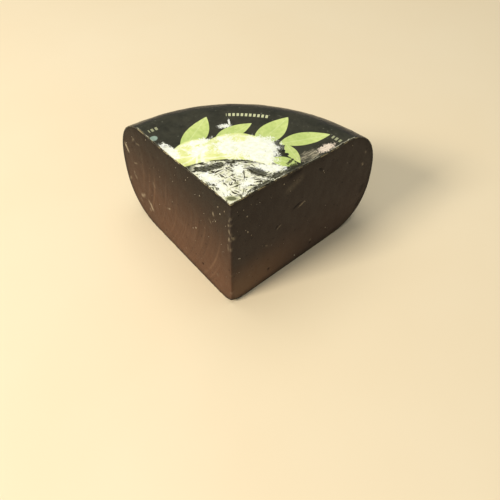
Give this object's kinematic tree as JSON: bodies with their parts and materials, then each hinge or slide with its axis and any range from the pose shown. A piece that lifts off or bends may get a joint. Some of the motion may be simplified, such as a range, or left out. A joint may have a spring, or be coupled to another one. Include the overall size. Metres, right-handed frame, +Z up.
{
  "type": "cheese wedge",
  "caption": "Wedge of dark hard cheese with a bulging rim, a thin black rind coating and a printed round label on top, standing on its flat base.",
  "frame": {"origin": "middle of the box's base, on the plane that the wedge stands on", "axes": "+Z up; the wedge's tip points along -Y and its rim faces +Y, with one cut face on each side of the YZ plane"},
  "size_m": [0.1716, 0.119, 0.0945],
  "materials": {
    "cheese_paste": "matte cut cheese, brown-black, with arc-shaped knife marks, small pits and pale crystals",
    "black_coating": "thin black coating with a soft satin gloss",
    "printed_label": "satin printed paper, near black with green leaves, citrus slices and white splashes, pale cut edge"
  },
  "bodies": {
    "root": {"cheese": "cheese_paste", "rind_coating": "black_coating", "top_label": "printed_label"}
  },
  "joints": []
}
